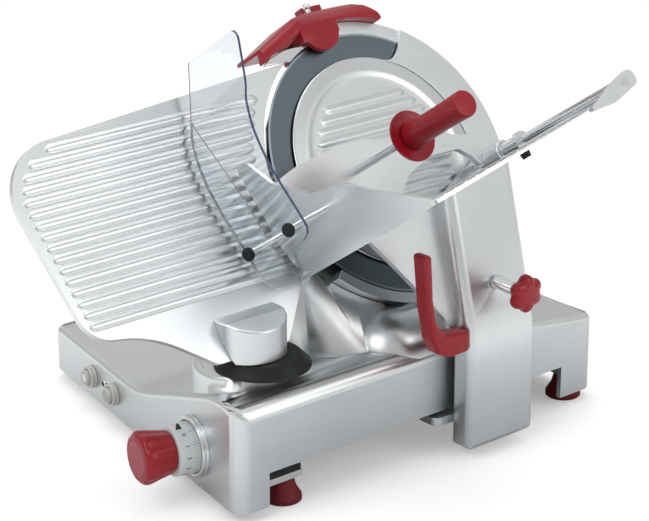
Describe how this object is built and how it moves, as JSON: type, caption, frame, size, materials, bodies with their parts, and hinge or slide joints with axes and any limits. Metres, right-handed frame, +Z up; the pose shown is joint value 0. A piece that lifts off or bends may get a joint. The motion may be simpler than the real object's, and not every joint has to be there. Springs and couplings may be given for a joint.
{
  "type": "gravity feed food slicer",
  "caption": "Food slicer with a leaning round blade, sliding tray, ribbed gauge plate, pusher, clear hand guard, sharpener and a cast base on feet.",
  "frame": {"origin": "centre of the bounding box in plan, at the height of the feet's soles", "axes": "+Z up; +X towards the operator's right, the side of the tray; +Y away from the operator, along the carriage's travel"},
  "size_m": [0.5708, 0.671, 0.4828],
  "materials": {
    "cast_aluminium": "satin polished casting",
    "sheet_steel": "brushed",
    "polished_steel": "polished",
    "blade_steel": "ground, dark in reflection",
    "red_plastic": "gloss",
    "dark_red_rubber": "matt",
    "black_rubber": "matt",
    "black_plastic": "matt",
    "white_plastic": "gloss",
    "clear_plastic": "clear",
    "bronze": "turned",
    "stone": "rough"
  },
  "bodies": {
    "base": {"base_casting": "cast_aluminium", "blade_head": "cast_aluminium", "rod_brackets": "cast_aluminium", "bottom_plate": "sheet_steel", "foot_plates": "sheet_steel", "foot_spacers": "black_plastic", "foot_front_right": "dark_red_rubber", "foot_front_left": "dark_red_rubber", "foot_rear_right": "dark_red_rubber", "foot_rear_left": "dark_red_rubber", "cable_gland": "black_plastic", "start_bezel": "polished_steel", "stop_bezel": "polished_steel", "pilot_light": "polished_steel", "index_ring": "sheet_steel", "knob_bush": "bronze", "gauge_guide_rod": "polished_steel", "carriage_rod": "polished_steel", "roller_rail": "polished_steel", "bearing_front": "blade_steel", "bearing_rear": "blade_steel", "ring_guard": "cast_aluminium", "blade_cover": "cast_aluminium", "slice_deflector": "sheet_steel", "sharpener_bracket": "sheet_steel", "sharpener_hood": "red_plastic", "sharpener_stones": "stone"},
    "start_push": {"start_button": "white_plastic"},
    "stop_push": {"stop_button": "sheet_steel"},
    "thickness_control": {"thickness_knob": "red_plastic", "thickness_dial": "white_plastic", "knob_shaft": "polished_steel"},
    "gauge": {"gauge_plate": "cast_aluminium", "gauge_pod": "cast_aluminium", "gauge_seal": "black_rubber", "gauge_slider": "sheet_steel"},
    "cutter": {"blade": "blade_steel", "blade_hub": "blade_steel"},
    "sharpener_turn": {"sharpener_lever": "red_plastic"},
    "sharpener_plunger": {"sharpener_pin": "polished_steel"},
    "carriage": {"carriage_foot": "cast_aluminium", "carriage_bushes": "bronze", "column": "cast_aluminium", "grip_handle": "red_plastic", "tray": "cast_aluminium", "guide_rod": "polished_steel", "guide_rod_screw": "polished_steel", "tray_bumper": "black_rubber", "hand_guard": "clear_plastic", "guard_studs": "polished_steel", "guard_caps": "black_plastic"},
    "rail_roller": {"roller": "blade_steel"},
    "arm_clamp": {"star_knob": "red_plastic"},
    "pusher_carrier": {"pusher_sleeve": "blade_steel"},
    "pusher": {"pusher_plate": "cast_aluminium", "pusher_hub": "cast_aluminium", "pusher_rod": "polished_steel", "hand_shield": "red_plastic", "pusher_handle": "red_plastic"}
  },
  "joints": [
    {"name": "start_press", "type": "slide", "parent": "base", "child": "start_push", "axis": [0.1822, 0.9833, 0], "range_m": [0, 0.004], "stiffness_N_per_m": 300},
    {"name": "stop_press", "type": "slide", "parent": "base", "child": "stop_push", "axis": [0.1822, 0.9833, 0], "range_m": [0, 0.004], "stiffness_N_per_m": 300},
    {"name": "gauge_slide", "type": "slide", "parent": "base", "child": "gauge", "axis": [-1, 0, 0], "range_m": [0, 0.018]},
    {"name": "knob_turn", "type": "hinge", "parent": "base", "child": "thickness_control", "pos_m": [0.07056, -0.18164, 0.0565], "axis": [-0.1822, -0.9833, 0], "range_deg": [0, 300.1]},
    {"name": "blade_spin", "type": "hinge", "parent": "base", "child": "cutter", "pos_m": [0.01906, 0.12589, 0.289], "axis": [0.8241, 0, 0.5664], "continuous": true},
    {"name": "carriage_slide", "type": "slide", "parent": "base", "child": "carriage", "axis": [0, 1, 0], "range_m": [-0.158, 0.11]},
    {"name": "roller_turn", "type": "hinge", "parent": "carriage", "child": "rail_roller", "pos_m": [0.11956, 0.11149, 0.0811], "axis": [1, 0, 0], "range_deg": [-530, 760]},
    {"name": "clamp_turn", "type": "hinge", "parent": "carriage", "child": "arm_clamp", "pos_m": [0.20156, 0.13249, 0.195], "axis": [1, 0, 0], "range_deg": [-720, 0]},
    {"name": "pusher_slide", "type": "slide", "parent": "carriage", "child": "pusher_carrier", "axis": [0.8241, 0, 0.5664], "range_m": [-0.012, 0.165]},
    {"name": "pusher_swing", "type": "hinge", "parent": "pusher_carrier", "child": "pusher", "pos_m": [0.09568, 0.23415, 0.29669], "axis": [0.8241, 0, 0.5664], "range_deg": [-95, 0]},
    {"name": "plunger_press", "type": "slide", "parent": "base", "child": "sharpener_plunger", "axis": [0.5664, 0, -0.8241], "range_m": [0, 0.004], "stiffness_N_per_m": 300},
    {"name": "sharpener_lever_turn", "type": "hinge", "parent": "base", "child": "sharpener_turn", "pos_m": [-0.11214, 0.12689, 0.42694], "axis": [-0.5664, 0, 0.8241], "range_deg": [0, 90]}
  ],
  "couplings": [
    {"joint": "knob_turn", "follows": "gauge_slide", "rad_per_m": 290.89},
    {"joint": "roller_turn", "follows": "carriage_slide", "rad_per_m": -83.333}
  ]
}
